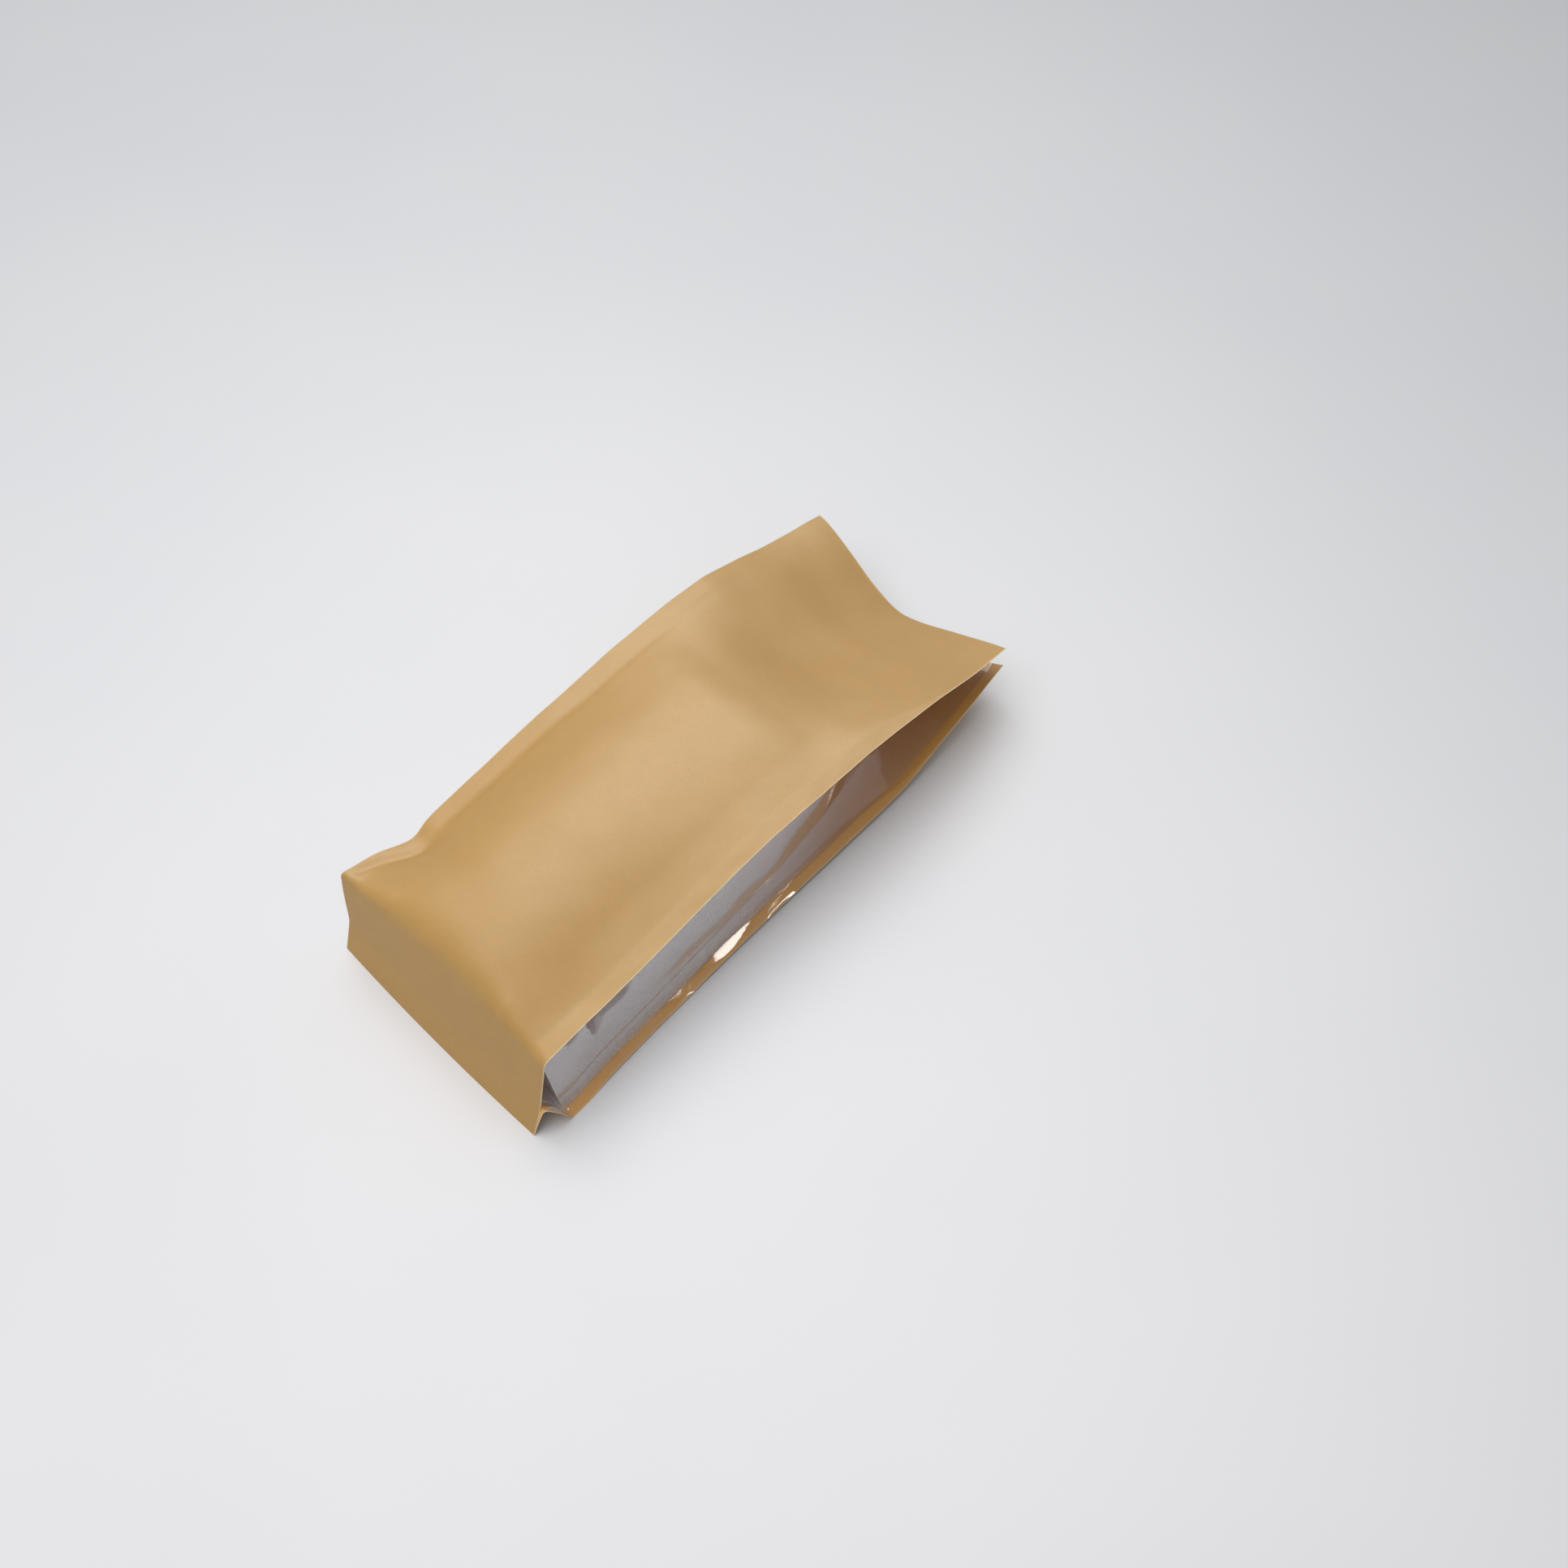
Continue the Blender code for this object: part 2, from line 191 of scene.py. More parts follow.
class Panel:
    """One kraft panel as rows of points for columns u, from -1 at the left edge to 1."""

    def __init__(self, left, middle, right, mouth, seal, front):
        self.margin = 1 - seal / HALF_WIDTH      # column of the seal's inner line
        self.left_x, self.left_z = long_line(left)
        self.right_x, self.right_z = long_line(right)
        self.middle_z = long_line(middle)[1]
        self.mouth = mouth
        self.front = front

    def across(self, u, y):
        return mix(self.left_x(y), self.right_x(y), (u + 1) / 2)

    def height(self, u, y):
        """Height of the panel's middle surface at columns u and distances y."""
        edge = mix(self.left_z(y), self.right_z(y), (u + 1) / 2)
        middle = self.middle_z(y)
        trough = smooth(y, DOME_END, TROUGH_START)
        t = np.minimum(np.abs(u) / mix(self.margin, 1, trough), 1)
        if self.front:
            dome = (1 - t ** DOME_POWERS[0]) ** DOME_POWERS[1]
            sharp = t * t * (1 + TROUGH_ROUND) / (t + TROUGH_ROUND)
            rise = np.where(u < 0, smooth(t, 0, 1), sharp)
            share = mix(1 - dome, rise, trough)
        else:
            flat = KEEL_FLAT * (1 - trough)
            share = np.clip((t - flat) / (1 - flat), 0, 1) ** mix(*KEEL_POWERS, trough)
            middle = middle + KRAFT / 2
            edge = edge + KRAFT / 2
        return mix(middle, edge, share)

    def mouth_y(self, u):
        left, middle, right = self.mouth
        return mix(middle, np.where(u > 0, right, left), np.abs(u) ** MOUTH_POWER)

    def body(self, u, start):
        """Rows from y = start to the mouth."""
        end = self.mouth_y(u)
        ys = [mix(start, end, t) for t in np.linspace(0, 1, BODY_CELLS + 1)]
        ys.insert(-1, end - LIP)
        return [np.array((y, self.height(u, y))) for y in ys]

    def slope(self, u, y):
        step = 0.5 * MM
        return (self.height(u, y + step) - self.height(u, y)) / step


def bend(start, corner, end, cells):
    """Rows of a soft bend from start to end, pulled towards corner, ends included."""
    return [(1 - t) ** 2 * start + 2 * t * (1 - t) * corner + t * t * end
            for t in np.linspace(0, 1, cells + 1)]


def between(start, end, cells):
    """Rows from start to end, without either of them."""
    return [mix(start, end, i / cells) for i in range(1, cells)]


def towards(start, end, distance):
    return mix(start, end, distance / np.linalg.norm(end - start, axis=0))


def fin_edge(u):
    """The fin's cut edge and seal line at columns u, as (y, z) on the front sheet."""
    y = mix(FIN_Y[0], FIN_Y[1], (u + 1) / 2) - FIN_BOW * (1 - u * u)
    flat = np.zeros_like(u)
    return np.array((y, flat + KRAFT / 4)), np.array((y + FIN_LEAN, flat + FIN_HEIGHT))


FIN_STACK = (KRAFT + GAP) * math.hypot(FIN_LEAN, FIN_HEIGHT) / FIN_HEIGHT


def front_profile(panel, u):
    """Rows of (y, z) from the fin's cut edge up the flap and over the crease to the mouth."""
    cut, seal = fin_edge(u)
    dome = 1 - u * u
    reach = mix(CORNER_BEND, MIDDLE_BEND, dome)
    start = CREASE_BOW * dome + reach
    top = np.array((start, panel.height(u, start)))
    corner = np.array((top[0] - reach, top[1] - reach * panel.slope(u, start)))
    low = towards(corner, seal, reach)
    fold_start, fold_end = towards(seal, cut, FOLD_BEND), towards(seal, low, FOLD_BEND)
    rows = [cut] + between(cut, fold_start, FIN_CELLS)
    rows += bend(fold_start, seal, fold_end, FOLD_CELLS)
    rows += between(fold_end, low, FLAP_CELLS)
    rows += bend(low, corner, top, CREASE_CELLS)
    return rows + panel.body(u, start)[1:]


def back_profile(panel, u):
    """Rows of (y, z) that match the front's, down the tucked back flap and along the floor."""
    flat = np.zeros_like(u)
    cut, seal = (line + np.array((flat + FIN_STACK, flat)) for line in fin_edge(u))
    seal[1] += BACK_FOLD_LIFT
    corner = np.array((flat + BACK_CORNER_Y, flat + KRAFT / 2))
    start = BACK_CORNER_Y + BACK_BEND
    into = mix(seal, corner, 0.5) + BACK_FLAP_TUCK
    fold_start = towards(seal, cut, FOLD_BEND)
    fold_end = towards(seal, into, FOLD_BEND)
    low = towards(corner, into, BACK_BEND)
    rows = [cut] + between(cut, fold_start, FIN_CELLS)
    rows += bend(fold_start, seal, fold_end, FOLD_CELLS)
    rows += bend(fold_end, into, low, FLAP_CELLS)[1:-1]
    rows += bend(low, corner, np.array((flat + start, flat + KRAFT / 2)), CREASE_CELLS)
    return rows + panel.body(u, start)[1:]


def panel_columns(panel):
    outer = np.linspace(panel.margin, 1, MARGIN_CELLS + 1)[1:]
    outer = np.insert(outer, -1, 1 - LIP / HALF_WIDTH)
    inner = np.linspace(-panel.margin, panel.margin, MIDDLE_CELLS + 1)
    return np.concatenate((-outer[::-1], inner, outer))


def panel_grid(panel, u):
    """Grid of points, rows by columns, of a panel's middle surface."""
    rows = np.array(front_profile(panel, u) if panel.front else back_profile(panel, u))
    y, z = rows[:, 0], rows[:, 1]
    fin_x = mix(FIN_X[0], FIN_X[1], (u + 1) / 2)
    x = mix(fin_x, panel.across(u, y), smooth(y, FIN_Y[1], BACK_CORNER_Y))
    return np.stack((x, y, z), axis=2)


def grid_normals(grid):
    """Unit normals of a grid of points, from the turn from its columns to its rows."""
    normal = np.cross(np.gradient(grid, axis=1), np.gradient(grid, axis=0))
    return normal / np.linalg.norm(normal, axis=2, keepdims=True)


def from_crease(grid):
    """Distance along the sheet from the crease's row, below zero on the flap."""
    steps = np.linalg.norm(np.diff(grid, axis=0), axis=2)
    run = np.concatenate((np.zeros((1, grid.shape[1])), np.cumsum(steps, axis=0)))
    return run - run[CREASE_ROW]


class Face:
    """The inner face of a panel, where a film gusset lies against it."""

    def __init__(self, panel, relief):
        self.margin = panel.margin
        self.columns = panel_columns(panel)
        plain = panel_grid(panel, self.columns)
        raised = relief(self.columns, from_crease(plain))
        self.grid = plain + grid_normals(plain) * raised[:, :, None]
        self.inward = grid_normals(self.grid) * (-1 if panel.front else 1)

    def read(self, table, row, u):
        """A table's value at columns u of a row: the grid's point, or the inward direction."""
        return np.stack([np.interp(u, self.columns, table[row, :, axis])
                         for axis in range(3)], axis=-1)

    def point(self, row, u):
        return self.read(self.grid, row, u)

    def film(self, row, u):
        """Where film that is sealed to the face has its middle surface."""
        return self.point(row, u) + self.read(self.inward, row, u) * FILM_OFFSET


# ---------------------------------------------------------------- gussets

gusset_stations = np.array(GUSSET_FOLD).T
gusset_depth = curve(gusset_stations[0] * MM, gusset_stations[1] * MM)
gusset_rise = curve(gusset_stations[0] * MM, gusset_stations[2])


def gusset_fold(row, height, y):
    """How far in a gusset's fold is, and how far up from the back seal as a share of height."""
    depth, rise = gusset_depth(y), gusset_rise(y)
    if row > CREASE_ROW:
        return depth, rise
    opened = np.interp(row, (SEAL_ROW, FLAP_ROW, CREASE_ROW), (0, FLAP_OPENED, 1))
    folded = math.sqrt(max(GUSSET_LEG ** 2 - height ** 2 / 4, 0))
    return mix(folded, depth, opened ** CORNER_POWER), mix(0.5, rise, opened)


def gusset_leg(near, far, row, side, fold_u, rise, cells):
    """Points from the inner line of near's seal to the fold, a share rise of the way to far."""
    share = np.linspace(0, 1, cells + 1)
    u = side * mix(near.margin, fold_u, share)
    across = far.point(row, u) - near.point(row, u)
    room = np.linalg.norm(across, axis=1)
    reach = np.maximum(rise - (FILM_OFFSET + FOLD_WIDTH / 2) / room, 0)
    return near.film(row, u) + across * (reach * share)[:, None]


def gusset_grid(front, back, side):
    """Grid of a film gusset: front seal, fold, back seal, from just above the fin's weld."""
    rows = []
    seal = np.linspace(1, 0, SEAL_CELLS + 1)[:-1]
    for row in range(SEAL_ROW, front.grid.shape[0]):
        front_line = front.film(row, side * front.margin)
        height = math.dist(front_line, back.film(row, side * back.margin))
        depth, rise = gusset_fold(row, height, front.point(row, side)[1])
        fold_u = mix(back.margin, front.margin, rise) - depth / HALF_WIDTH
        upper = gusset_leg(front, back, row, side, fold_u, 1 - rise, UPPER_CELLS)
        lower = gusset_leg(back, front, row, side, fold_u, rise, LOWER_CELLS)
        tip = (upper[-1] + lower[-1]) / 2
        tip[0] = side * (min(side * upper[-1][0], side * lower[-1][0]) - FOLD_REACH)
        seal_top = front.film(row, side * mix(front.margin, 1, seal))
        seal_low = back.film(row, side * mix(back.margin, 1, seal[::-1]))
        rows.append(np.concatenate((seal_top, upper, tip[None], lower[::-1], seal_low)))
    grid = np.array(rows)
    wall = slice(SEAL_CELLS, -SEAL_CELLS)
    grid[:, wall, 0] -= side * wall_relief(grid[:, wall, 1], grid[:, wall, 2], side)
    low = slice(-SEAL_CELLS - 3, -1)
    grid[:, low, 2] += blisters(side * grid[:, low, 0], grid[:, low, 1])
    return grid


# ---------------------------------------------------------------- relief

SWELL_WAVES = 9


def swell(x, y, length, seed):
    """Soft random bumps of about the given length, between about -1 and 1."""
    draw = np.random.default_rng(seed)
    total = np.zeros(np.broadcast(x, y).shape)
    for _ in range(SWELL_WAVES):
        angle = draw.uniform(0, math.pi)
        wave = 2 * math.pi / (length * draw.uniform(0.7, 1.5))
        phase = draw.uniform(0, 2 * math.pi)
        total += np.sin(wave * (x * math.cos(angle) + y * math.sin(angle)) + phase)
    return total / math.sqrt(SWELL_WAVES)


def crease(x, y, start, end, width):
    """A soft line in millimetres from start to end: 1 along it, and 0 at its ends and sides."""
    start, end = np.array(start) * MM, np.array(end) * MM
    run = end - start
    length = math.hypot(*run)
    along = ((x - start[0]) * run[0] + (y - start[1]) * run[1]) / length ** 2
    off = ((y - start[1]) * run[0] - (x - start[0]) * run[1]) / length
    ends = smooth(along, 0, 0.3) * smooth(1 - along, 0, 0.3)
    return np.exp(-(off / (width * MM)) ** 2) * ends


# Soft unevenness of the front panel: (height, length, seed), the first two in millimetres
FRONT_SWELLS = ((0.30, 60, 3), (0.07, 20, 4))
MARGIN_SWELL = (0.12, 26, 6)
# A dent and a ridge at its bottom left corner: ends (across, along), width and height, in
# millimetres
FRONT_CREASES = (((-69, -3), (-58, 44), 3, -1.3), ((-70, 40), (-48, 66), 4, 0.5))
# The valley inside the left seal, its place inside the seal and its width as shares of a half
# panel
VALLEY_DEPTH = 0.4 * MM
VALLEY_PLACE = 0.05
VALLEY_WIDTH = 0.035
# The rounding inside the right seal, which starts at a column, and the seals' own step
HUMP_HEIGHT = 1.4 * MM
HUMP_START = 0.62
SEAL_STEP = 0.08 * MM
SEAL_SLOPE = 0.006


def front_relief(u, along):
    """How far the front panel stands out from its plain surface."""
    x = u * HALF_WIDTH + np.zeros_like(along)
    margin = 1 - FRONT_SEAL / HALF_WIDTH
    relief = sum(height * MM * swell(x, along, length * MM, seed)
                 for height, length, seed in FRONT_SWELLS)
    body = smooth(along, 25 * MM, 50 * MM) * smooth(-along, -250 * MM, -215 * MM)
    valley = np.exp(-((np.abs(u) - margin + VALLEY_PLACE) / VALLEY_WIDTH) ** 2)
    relief -= np.where(u < 0, VALLEY_DEPTH, 0) * body * valley
    hump = smooth(u, HUMP_START, margin) * np.minimum((1 - u) / (1 - margin), 1)
    relief += HUMP_HEIGHT * body * hump
    relief += SEAL_STEP * smooth(np.abs(u), margin - SEAL_SLOPE, margin + SEAL_SLOPE)
    height, length, seed = MARGIN_SWELL
    uneven = swell(along, 3 * x, length * MM, seed)
    relief += height * MM * smooth(np.abs(u), margin, 1) * uneven
    for start, end, width, height in FRONT_CREASES:
        relief += height * MM * crease(x, along, start, end, width)
    clear = smooth(np.arange(len(along)), SEAL_ROW, FLAP_ROW)
    return relief * clear[:, None]


BACK_SWELL = (0.2, 38, 7)   # height, length and seed, the first two in millimetres


def back_relief(u, along):
    """How far the back panel stands up into the bag from its plain surface."""
    x = u * HALF_WIDTH + np.zeros_like(along)
    loose = smooth(np.abs(u), KEEL_FLAT, 1) * smooth(along, 5 * MM, 30 * MM)
    height, length, seed = BACK_SWELL
    relief = loose * (1 + swell(x, along, length * MM, seed)) * height * MM
    rows = smooth(np.arange(len(along)), CREASE_ROW, CREASE_ROW + CREASE_CELLS)
    return relief * rows[:, None]


# Crumples of a gusset just under the front panel's edge: the lower outline of each dent,
# as (along, height) in millimetres, and how deep it goes in for each millimetre above that
CRUMPLES = (
    (((28, 57), (32.5, 22.5), (36, 25), (40, 32.5), (51, 31), (57, 33), (66, 57)), 0.9),
    (((10, 57), (17, 34), (24, 35.5), (29, 57)), 0.6),
    (((58, 57), (64, 41), (70, 41.5), (77, 57)), 0.9),
)
CRUMPLE_TOP = 56 * MM
CRUMPLE_RETURN = 0.8        # how fast a crumple comes back out under its top

# Creases of a gusset: where it starts to fold in, on its middle, and a long double one low
# down. Each has its ends (along, height), width and depth in millimetres, the depth being
# below zero where it stands out.
CREASES = (
    ((225, 30), (247, 12), 1.8, 0.4), ((222, 27), (250, 45), 1.8, 0.4),
    ((75, 45), (118, 41), 2.2, 0.25), ((12, 6.5), (185, 15.5), 0.9, 0.05),
    ((12, 4.5), (185, 13.5), 0.9, -0.08),
)

# Soft unevenness of a gusset: (height, squeeze along, length, seed of the pair's middle), the
# height and the length in millimetres
WALL_SWELLS = ((0.06, 0.4, 18, 11), (0.08, 1, 40, 14))
FLARE = 1.6 * MM            # how far the wall stands in above its foot
FLARE_TOP = 17 * MM         # height where it is in that far
FLARE_BACK = 0.9            # share of it that is taken back further up, by 62 mm


def wall_relief(y, z, side):
    """How far a gusset's wall stands in from its plain surface."""
    ends = smooth(y, 5 * MM, 30 * MM) * smooth(z, 3 * MM, 14 * MM)
    relief = sum(height * MM * ends * swell(y * squeeze, z, length * MM, seed + side)
                 for height, squeeze, length, seed in WALL_SWELLS)
    flare = smooth(z, 2 * MM, FLARE_TOP) * (1 - FLARE_BACK * smooth(z, FLARE_TOP, 62 * MM))
    relief += FLARE * flare * smooth(y, 5 * MM, 30 * MM) * smooth(-y, -205 * MM, -165 * MM)
    for outline, slope in CRUMPLES:
        along, height = np.array(outline).T * MM
        lowest = np.interp(y, along, height, left=1, right=1)
        room = np.minimum(z - lowest, CRUMPLE_RETURN * (CRUMPLE_TOP - z))
        relief += slope * np.maximum(room, 0)
    for start, end, width, depth in CREASES:
        relief += depth * MM * crease(y, z, start, end, width)
    return relief


# Loose film on the back margin: how steeply it rises inwards, and from which line. The line
# is (across, bulge, middle along, length) in millimetres. The folds are (start, end, width).
BLISTER_TILT = math.tan(math.radians(13))
BLISTER_LINE = (64.0, 5.0, 115, 19)
BLISTER_FOLDS = (((64.5, 70), (71, 91), 2.2), ((70, 138), (64, 172), 2.4))


def blisters(x, y):
    """How far film stands off the back panel's margin, where it isn't sealed down flat."""
    across, bulge, middle, length = BLISTER_LINE
    line = (across + bulge * np.exp(-((y / MM - middle) / length) ** 2)) * MM
    rise = BLISTER_TILT * np.maximum(line - x, 0)
    for start, end, width in BLISTER_FOLDS:
        fold = crease(x, y, start, end, width)
        rise = np.maximum(rise, BLISTER_TILT * width * MM * fold)
    return rise * smooth(y, 30 * MM, 60 * MM) * smooth(-y, -200 * MM, -180 * MM)


# ---------------------------------------------------------------- meshes

SHARP_ANGLE = math.radians(50)


def sheet(name, grid, thickness, materials, special):
    """A closed sheet round a grid of points: upper face, lower face and the cut edge.

    materials are those of the upper face, the lower face and the edge, the upper face
    being on the side that grid_normals gives. The cells that special marks have the
    edge's material on both faces.
    """
    rows, columns = grid.shape[:2]
    half = grid_normals(grid) * thickness / 2
    both = (grid + half).reshape(-1, 3), (grid - half).reshape(-1, 3)
    points = np.concatenate(both) - ORIGIN
    index = np.arange(rows * columns).reshape(rows, columns)
    a, b, c, d = index[:-1, :-1], index[:-1, 1:], index[1:, 1:], index[1:, :-1]
    upper = np.stack((a, b, c, d), axis=-1).reshape(-1, 4)
    lower = np.stack((a, d, c, b), axis=-1).reshape(-1, 4) + rows * columns
    ring = np.concatenate((index[0, :-1], index[:-1, -1], index[-1, :0:-1], index[:0:-1, 0]))
    after = np.roll(ring, -1)
    below = rows * columns
    rim = np.stack((ring, ring + below, after + below, after), axis=-1)
    faces = np.concatenate((upper, lower, rim))
    mesh = bpy.data.meshes.new(name)
    mesh.from_pydata(points.tolist(), [], faces.tolist())
    for material in materials:
        mesh.materials.append(material)
    numbers = np.repeat((0, 1, 2), (len(upper), len(lower), len(rim)))
    numbers[:2 * len(upper)][np.tile(special.ravel(), 2)] = 2
    mesh.polygons.foreach_set("material_index", numbers.astype(np.int32))
    mesh.shade_smooth()
    mesh.set_sharp_from_angle(angle=SHARP_ANGLE)
    made = bpy.data.objects.new(name, mesh)
    bpy.context.scene.collection.objects.link(made)
    return made


# ---------------------------------------------------------------- materials

def nodes_of(name):
    material = bpy.data.materials.new(name)
    material.use_nodes = True
    tree = material.node_tree
    tree.nodes.clear()
    output = tree.nodes.new("ShaderNodeOutputMaterial")
    return material, tree, output


def noise(tree, scale, detail=2.0, roughness=0.5, stretch=(1, 1, 1)):
    """Noise over the piece's own coordinates, in features per metre."""
    squeeze = tree.nodes.new("ShaderNodeMapping")
    squeeze.inputs["Scale"].default_value = stretch
    tree.links.new(own_place(tree), squeeze.inputs["Vector"])
    made = tree.nodes.new("ShaderNodeTexNoise")
    made.inputs["Scale"].default_value = scale
    made.inputs["Detail"].default_value = detail
    made.inputs["Roughness"].default_value = roughness
    tree.links.new(squeeze.outputs["Vector"], made.inputs["Vector"])
    return made.outputs["Fac"]


def ramp(tree, value, stops):
    """Colours over a value, from stops of (position, colour)."""
    made = tree.nodes.new("ShaderNodeValToRGB")
    tree.links.new(value, made.inputs["Fac"])
    elements = made.color_ramp.elements
    while len(elements) < len(stops):
        elements.new(0.5)
    for element, (position, colour) in zip(elements, stops):
        element.position = position
        element.color = (*colour, 1)
    return made.outputs["Color"]


def multiplied(tree, first, second):
    """The product of two colours."""
    made = tree.nodes.new("ShaderNodeMix")
    made.data_type = "RGBA"
    made.blend_type = "MULTIPLY"
    made.inputs["Factor"].default_value = 1
    tree.links.new(first, made.inputs["A"])
    tree.links.new(second, made.inputs["B"])
    return made.outputs["Result"]


def bumped(tree, value, distance):
    """A normal for bumps of a height, which go out by distance where value is 1."""
    made = tree.nodes.new("ShaderNodeBump")
    made.inputs["Strength"].default_value = 1
    made.inputs["Distance"].default_value = distance
    tree.links.new(value, made.inputs["Height"])
    return made.outputs["Normal"]


def spread(tree, value, low, high, start=0, end=1):
    """Runs from low to high while value runs from start to end."""
    made = tree.nodes.new("ShaderNodeMapRange")
    made.inputs["From Min"].default_value = start
    made.inputs["From Max"].default_value = end
    made.inputs["To Min"].default_value = low
    made.inputs["To Max"].default_value = high
    tree.links.new(value, made.inputs["Value"])
    return made.outputs["Result"]


def scaled(colour, factor):
    return tuple(min(c * factor, 1) for c in colour)


def own_place(tree):
    """The coordinates of a point on the piece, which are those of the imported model."""
    return tree.nodes.new("ShaderNodeTexCoord").outputs["Object"]


TOOTH = 0.03 * MM           # height of the paper's fine tooth
RIPPLE = 0.15 * MM          # height of the film's ripples


def paper_material(name, colour, roughness, gloss, grain):
    """Kraft paper: cloudy brown pulp with short fibres and a fine tooth.

    gloss is the weight of a clear coat over it, and grain how much the tone varies.
    """
    material, tree, output = nodes_of(name)
    shader = tree.nodes.new("ShaderNodeBsdfPrincipled")
    clouds = ramp(tree, noise(tree, 90, detail=5, roughness=0.6), (
        (0.3, scaled(colour, 1 - grain / 2)), (0.7, scaled(colour, 1 + grain / 2))))
    fibres = ramp(tree, noise(tree, 900, detail=3, stretch=(1, 0.4, 1)), (
        (0.3, (1 - grain,) * 3), (0.72, (1, 1, 1))))
    tree.links.new(multiplied(tree, clouds, fibres), shader.inputs["Base Color"])
    tooth = noise(tree, 1500, detail=3, stretch=(1, 0.5, 1))
    worn = spread(tree, tooth, roughness - 0.08, roughness + 0.08)
    tree.links.new(worn, shader.inputs["Roughness"])
    tree.links.new(bumped(tree, tooth, TOOTH), shader.inputs["Normal"])
    shader.inputs["Specular IOR Level"].default_value = 0.5
    shader.inputs["Coat Weight"].default_value = gloss
    shader.inputs["Coat Roughness"].default_value = 0.12
    tree.links.new(shader.outputs["BSDF"], output.inputs["Surface"])
    return material


def mixed(tree, share, first, second):
    """The shader first with a share of second over it."""
    made = tree.nodes.new("ShaderNodeMixShader")
    for value, socket in zip((share, first, second), made.inputs):
        tree.links.new(value, socket)
    return made.outputs["Shader"]


def mirror_share(tree, normal, along):
    """How much of the film mirrors: more the flatter it is looked at, less by the mouth."""
    facing = tree.nodes.new("ShaderNodeLayerWeight")
    tree.links.new(normal, facing.inputs["Normal"])
    power = tree.nodes.new("ShaderNodeMath")
    power.operation = "POWER"
    power.inputs[1].default_value = MIRROR_POWER
    tree.links.new(facing.outputs["Facing"], power.inputs[0])
    share = spread(tree, power.outputs["Value"], MIRROR_LEAST[0], MIRROR_MOST[0])
    for limit, ends in (("To Min", MIRROR_LEAST), ("To Max", MIRROR_MOST)):
        tree.links.new(spread(tree, along, *ends, *MIRROR_FADE), share.node.inputs[limit])
    return share


def haze_share(tree, haziness, along):
    """How much of the film's body scatters, in fine speckles: less towards the mouth."""
    faded = spread(tree, along, haziness, haziness * HAZE_LEFT, *HAZE_FADE)
    faded.node.interpolation_type = "SMOOTHSTEP"
    speckled = tree.nodes.new("ShaderNodeMath")
    speckled.operation = "MULTIPLY"
    tree.links.new(faded, speckled.inputs[0])
    tree.links.new(spread(tree, noise(tree, 2500), *HAZE_SPECKLES), speckled.inputs[1])
    return speckled.outputs["Value"]


def film_material(name, tint, haziness):
    """Film: tint is what one face lets through, and haziness the share that scatters."""
    material, tree, output = nodes_of(name)
    axes = tree.nodes.new("ShaderNodeSeparateXYZ")
    tree.links.new(own_place(tree), axes.inputs["Vector"])
    normal = bumped(tree, noise(tree, 35, detail=2), RIPPLE)
    clear = tree.nodes.new("ShaderNodeBsdfTransparent")
    clear.inputs["Color"].default_value = (*tint, 1)
    haze = tree.nodes.new("ShaderNodeBsdfDiffuse")
    haze.inputs["Color"].default_value = (0.8, 0.8, 0.82, 1)
    mirror = tree.nodes.new("ShaderNodeBsdfGlossy")
    mirror.inputs["Color"].default_value = (1, 1, 1, 1)
    mirror.inputs["Roughness"].default_value = 0.08
    tree.links.new(normal, mirror.inputs["Normal"])
    body = mixed(tree, haze_share(tree, haziness, axes.outputs["Y"]),
                 clear.outputs["BSDF"], haze.outputs["BSDF"])
    whole = mixed(tree, mirror_share(tree, normal, axes.outputs["Y"]),
                  body, mirror.outputs["BSDF"])
    tree.links.new(whole, output.inputs["Surface"])
    return material


# The floor's tone is painted light falloff: painted shade on one side and painted light on the
# other.
FLOOR_PAINTED_SHADE = (0.70, 0.71, 0.745)
FLOOR_PAINTED_LIT = (0.80, 0.805, 0.84)
FLOOR_VEIN = (0.97, 0.975, 0.98)
FLOOR_PAINTED_LIGHT_DIRECTION = (0.6, -0.8, 0)     # direction in which the painted light falloff makes the floor lighter
FLOOR_PAINTED_LIGHT_RANGE = (-0.45, 0.3)          # how far along that direction the painted shade starts and ends


def floor_material():
    """A pale table with faint veins, with painted light falloff: painted shade makes it darker
    on one side.
    """
    material, tree, output = nodes_of("floor")
    along = tree.nodes.new("ShaderNodeVectorMath")
    along.operation = "DOT_PRODUCT"
    along.inputs[1].default_value = FLOOR_PAINTED_LIGHT_DIRECTION
    tree.links.new(own_place(tree), along.inputs[0])
    # Painted light falloff: the floor's tone runs from painted shade to painted light along this
    # direction.
    near = spread(tree, along.outputs["Value"], 0, 1, *FLOOR_PAINTED_LIGHT_RANGE)
    tone = ramp(tree, near, ((0, FLOOR_PAINTED_SHADE), (1, FLOOR_PAINTED_LIT)))
    veins = ramp(tree, noise(tree, 4, detail=4), ((0.35, FLOOR_VEIN), (0.65, (1, 1, 1))))
    shader = tree.nodes.new("ShaderNodeBsdfPrincipled")
    tree.links.new(multiplied(tree, tone, veins), shader.inputs["Base Color"])
    shader.inputs["Roughness"].default_value = 0.55
    tree.links.new(shader.outputs["BSDF"], output.inputs["Surface"])
    return material


# ---------------------------------------------------------------- stage

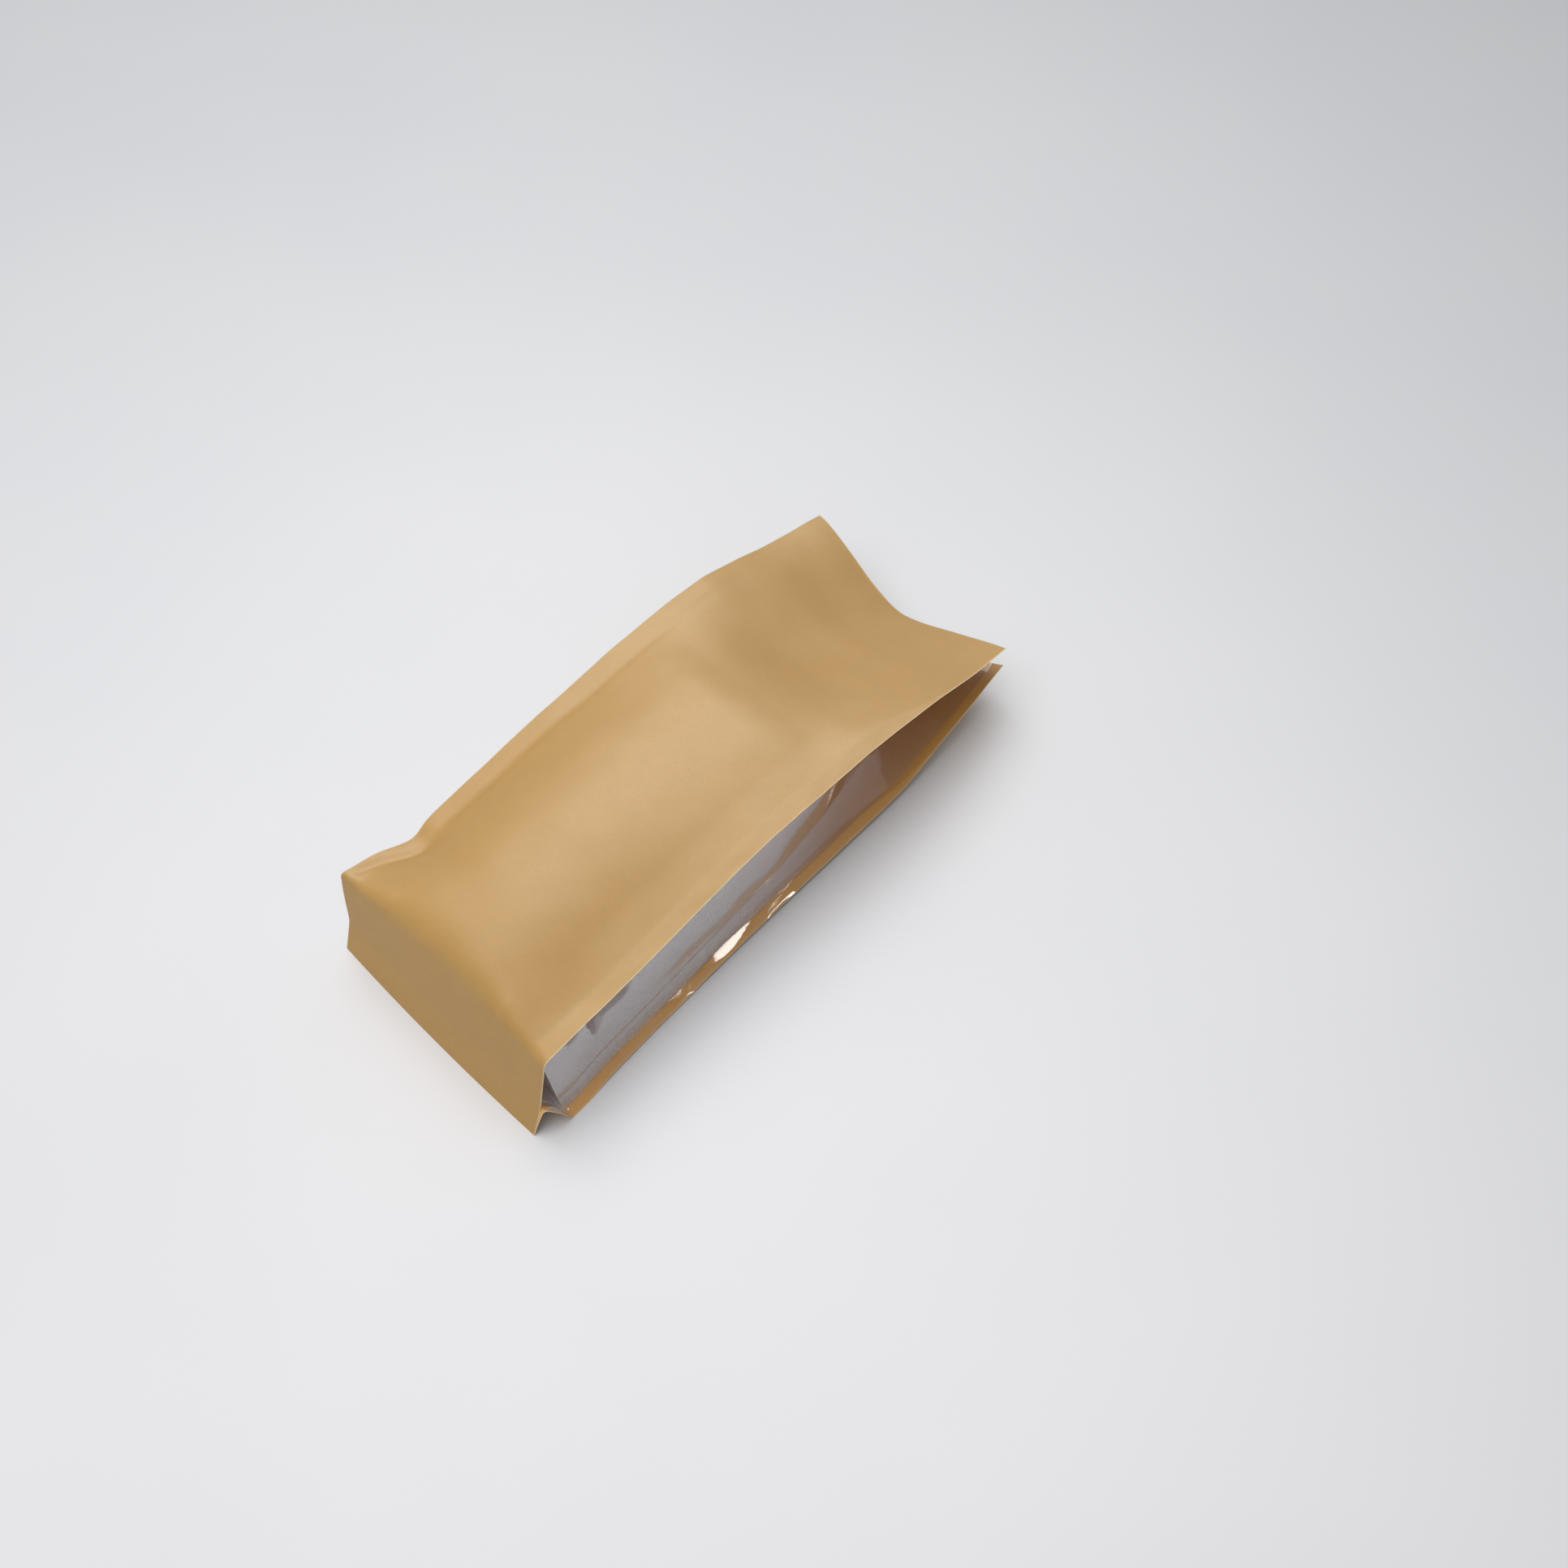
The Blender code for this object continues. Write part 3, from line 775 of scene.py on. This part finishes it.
def make_camera():
    data = bpy.data.cameras.new("camera")
    data.lens = LENS
    data.sensor_width = SENSOR_WIDTH
    camera = bpy.data.objects.new("camera", data)
    bpy.context.scene.collection.objects.link(camera)
    level = math.cos(CAMERA_ELEVATION)
    back = Vector((math.sin(CAMERA_AZIMUTH) * level, -math.cos(CAMERA_AZIMUTH) * level,
                   math.sin(CAMERA_ELEVATION)))
    right = Vector((math.cos(CAMERA_AZIMUTH), math.sin(CAMERA_AZIMUTH), 0))
    turn = Matrix((right, back.cross(right), back)).transposed().to_4x4()
    camera.matrix_world = Matrix.Translation(CAMERA_TARGET + back * CAMERA_DISTANCE) @ turn
    bpy.context.scene.camera = camera


# Area lights: (name, direction from the bag, size, watts, colour, lights matt surfaces too)
LIGHT_DISTANCE = 1.7
LIGHTS = (
    ("key", (-0.18, -0.14, 0.96), (2.2, 1.2), 23.5, (1, 0.99, 0.97), True),
    ("gloss", (-0.45, 0.42, 0.8), (1.3, 0.8), 25, (1, 1, 0.96), False),
    ("glint", (0.06, 0.42, 0.9), (0.5, 0.8), 12, (1, 1, 0.96), False),
)
WORLD_STRENGTH = 0.35
FLOOR_RADIUS = 5
FLOOR_DROP = 0.0001         # how far the floor is below the bag, so that they don't meet


def make_light(name, direction, size, watts, colour, diffuse):
    data = bpy.data.lights.new(name, "AREA")
    data.shape = "RECTANGLE"
    data.size, data.size_y = size
    data.energy = watts
    data.color = colour
    light = bpy.data.objects.new(name, data)
    bpy.context.scene.collection.objects.link(light)
    away = Vector(direction).normalized()
    light.location = away * LIGHT_DISTANCE
    light.rotation_mode = "QUATERNION"
    light.rotation_quaternion = away.to_track_quat("Z", "Y")
    light.visible_diffuse = diffuse


def make_stage():
    bpy.ops.mesh.primitive_circle_add(vertices=96, radius=FLOOR_RADIUS, fill_type="NGON",
                                      location=(0, 0, -FLOOR_DROP))
    floor = bpy.context.object
    floor.name = "floor"
    floor.data.materials.append(floor_material())
    world = bpy.data.worlds.new("studio")
    world.use_nodes = True
    sky = world.node_tree.nodes["Background"]
    sky.inputs["Color"].default_value = (1, 1, 1, 1)
    sky.inputs["Strength"].default_value = WORLD_STRENGTH
    bpy.context.scene.world = world
    for light in LIGHTS:
        make_light(*light)
    bpy.context.scene.view_settings.view_transform = "Standard"


# ---------------------------------------------------------------- the bag

OUTER_COLOUR = (0.525, 0.305, 0.09)
INNER_COLOUR = (0.80, 0.44, 0.13)
EDGE_COLOUR = (0.78, 0.62, 0.40)


def no_cells(grid):
    """A mask over a grid's cells that marks none."""
    return np.zeros([size - 1 for size in grid.shape[:2]], dtype=bool)


def dress(piece, node):
    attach(piece, "root")
    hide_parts(node)


def make_bag():
    front_panel = Panel(FRONT_LEFT, FRONT_CROWN, FRONT_RIGHT, MOUTH_Y["front"], FRONT_SEAL, True)
    back_panel = Panel(BACK_LEFT, BACK_KEEL, BACK_RIGHT, MOUTH_Y["back"], BACK_SEAL, False)
    front = Face(front_panel, front_relief)
    back = Face(back_panel, back_relief)
    outer = paper_material("kraft_outer", OUTER_COLOUR, 0.55, 0.0, 0.04)
    inner = paper_material("kraft_inner", INNER_COLOUR, 0.45, 0.08, 0.05)
    edge = paper_material("kraft_edge", EDGE_COLOUR, 0.8, 0.0, 0.08)
    film = film_material("film", (0.93, 0.92, 0.94), 0.40)
    sealed = film_material("film_sealed", (0.98, 0.98, 0.98), 0.0)
    lip = no_cells(front.grid)
    lip[:, (0, -1)] = True
    lip[-1] = True
    kraft = sheet("kraft_front", front.grid, KRAFT, (outer, inner, edge), lip)
    dress(kraft, "front_panel")
    kraft = sheet("kraft_back", back.grid, KRAFT, (inner, outer, edge), lip)
    dress(kraft, "back_panel")
    for name, side in (("left", -1), ("right", 1)):
        grid = gusset_grid(front, back, side)
        seal = no_cells(grid)
        seal[:, :SEAL_CELLS] = seal[:, -SEAL_CELLS:] = True
        wall = sheet("film_" + name, grid, FILM, (film, film, sealed), seal)
        dress(wall, "gusset_" + name)


make_camera()
make_stage()
make_bag()
